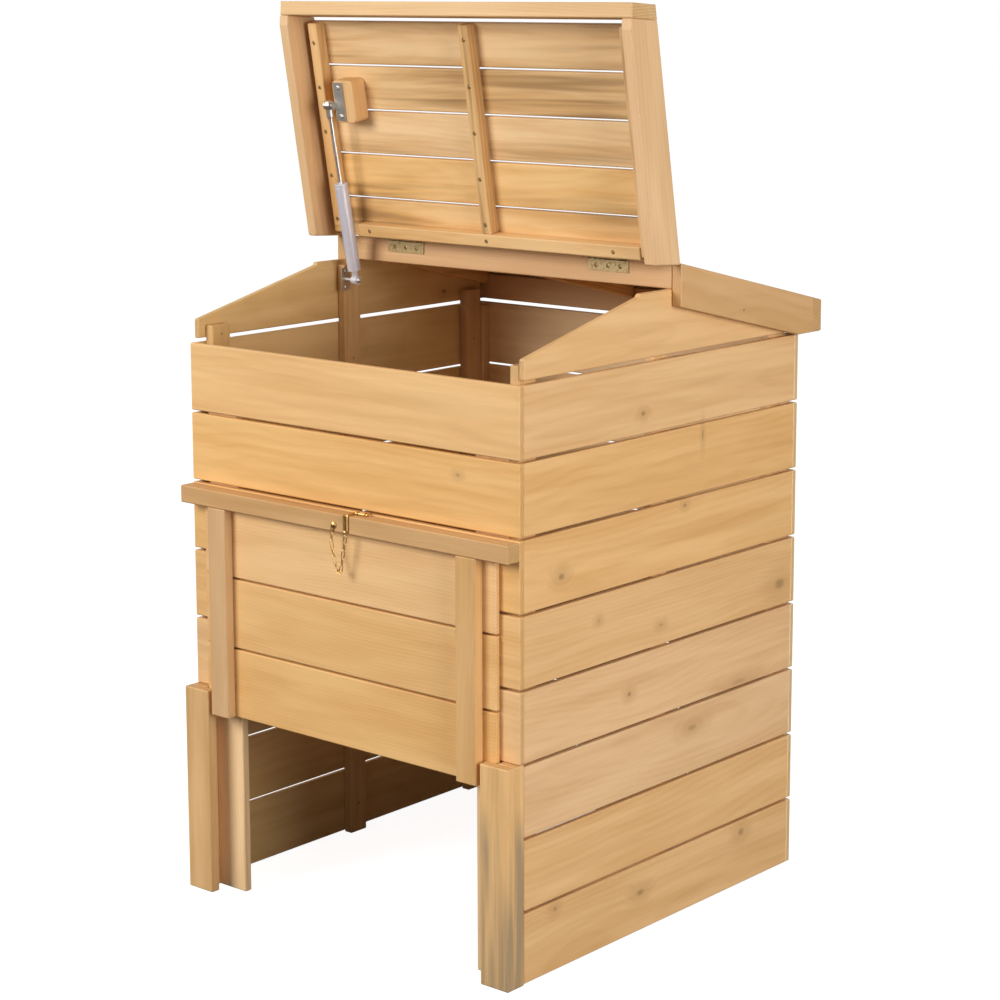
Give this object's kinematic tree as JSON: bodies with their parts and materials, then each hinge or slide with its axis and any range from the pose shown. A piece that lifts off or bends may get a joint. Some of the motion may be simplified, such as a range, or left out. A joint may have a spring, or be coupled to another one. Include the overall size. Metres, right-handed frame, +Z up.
{
  "type": "compost bin",
  "caption": "Wooden garden compost bin with slatted walls, a hinged front roof on a gas strut, a fixed rear roof and a hatch that slides up in front.",
  "frame": {"origin": "on the ground, under the middle of the walled body", "axes": "+Z up, -Y to the hatch side, +X to the right of someone who faces the hatch; stored with the lid open and the hatch raised"},
  "size_m": [0.644, 0.6859, 1.2742],
  "materials": {
    "planed_pine": "planed softwood board with a clear honey stain",
    "weathered_pine": "greyer, knotty planed softwood",
    "zinc_steel": "zinc-plated sheet steel, dull",
    "strut_enamel": "silver-grey enamel on a gas strut",
    "polished_steel": "polished rod",
    "brass_wire": "brass-plated wire"
  },
  "bodies": {
    "bin": {"side_board_left_1": "planed_pine", "side_board_left_2": "planed_pine", "side_board_left_3": "planed_pine", "side_board_left_4": "planed_pine", "side_board_left_5": "planed_pine", "side_board_left_6": "planed_pine", "side_board_left_7": "planed_pine", "side_board_left_8": "planed_pine", "gable_left": "planed_pine", "wall_batten_left_front": "planed_pine", "wall_batten_left_mid": "planed_pine", "wall_batten_left_back": "planed_pine", "guide_strip_left": "planed_pine", "front_post_left": "weathered_pine", "rear_rake_left": "planed_pine", "hinge_leaf_fixed_left": "zinc_steel", "side_board_right_1": "planed_pine", "side_board_right_2": "planed_pine", "side_board_right_3": "planed_pine", "side_board_right_4": "planed_pine", "side_board_right_5": "planed_pine", "side_board_right_6": "planed_pine", "side_board_right_7": "planed_pine", "side_board_right_8": "planed_pine", "gable_right": "planed_pine", "wall_batten_right_front": "planed_pine", "wall_batten_right_mid": "planed_pine", "wall_batten_right_back": "planed_pine", "guide_strip_right": "planed_pine", "front_post_right": "weathered_pine", "rear_rake_right": "planed_pine", "hinge_leaf_fixed_right": "zinc_steel", "front_board_1": "planed_pine", "front_board_2": "planed_pine", "front_board_3": "planed_pine", "front_board_4": "planed_pine", "front_board_5": "planed_pine", "back_panel": "planed_pine", "back_top_board": "planed_pine", "rear_fascia": "planed_pine", "ridge_board": "planed_pine", "rear_deck": "planed_pine", "strut_lower_bracket": "zinc_steel"},
    "lid": {"lid_rake_left": "planed_pine", "lid_rake_right": "planed_pine", "lid_fascia": "planed_pine", "lid_deck": "planed_pine", "strut_block": "planed_pine", "strut_upper_bracket": "zinc_steel", "hinge_leaf_lid_left": "zinc_steel", "hinge_leaf_lid_right": "zinc_steel"},
    "strut_barrel": {"strut_cylinder": "strut_enamel"},
    "strut_piston": {"strut_rod": "polished_steel"},
    "hatch": {"hatch_board_1": "planed_pine", "hatch_board_2": "planed_pine", "hatch_board_3": "planed_pine", "hatch_stile_left": "planed_pine", "hatch_stile_right": "planed_pine", "hatch_rail": "planed_pine"},
    "latch": {"latch_pin": "brass_wire"}
  },
  "joints": [
    {"name": "lid_hinge", "type": "hinge", "parent": "bin", "child": "lid", "pos_m": [0, -0.0018, 0.92745], "axis": [1, 0, 0], "range_deg": [0, 93.6]},
    {"name": "strut_swing", "type": "hinge", "parent": "bin", "child": "strut_barrel", "pos_m": [-0.259, -0.026, 0.86395], "axis": [1, 0, 0], "range_deg": [0, 87.4]},
    {"name": "strut_slide", "type": "slide", "parent": "strut_barrel", "child": "strut_piston", "axis": [0, -0.1971, 0.9804], "range_m": [-0.0965, 0]},
    {"name": "hatch_slide", "type": "slide", "parent": "bin", "child": "hatch", "axis": [0, 0, 1], "range_m": [-0.268, 0]},
    {"name": "latch_slide", "type": "slide", "parent": "hatch", "child": "latch", "axis": [-1, 0, 0], "range_m": [0, 0.014]}
  ],
  "couplings": [
    {"joint": "strut_swing", "follows": "lid_hinge", "ratio": 0.93177},
    {"joint": "strut_slide", "follows": "lid_hinge", "m_per_rad": -0.058895}
  ]
}
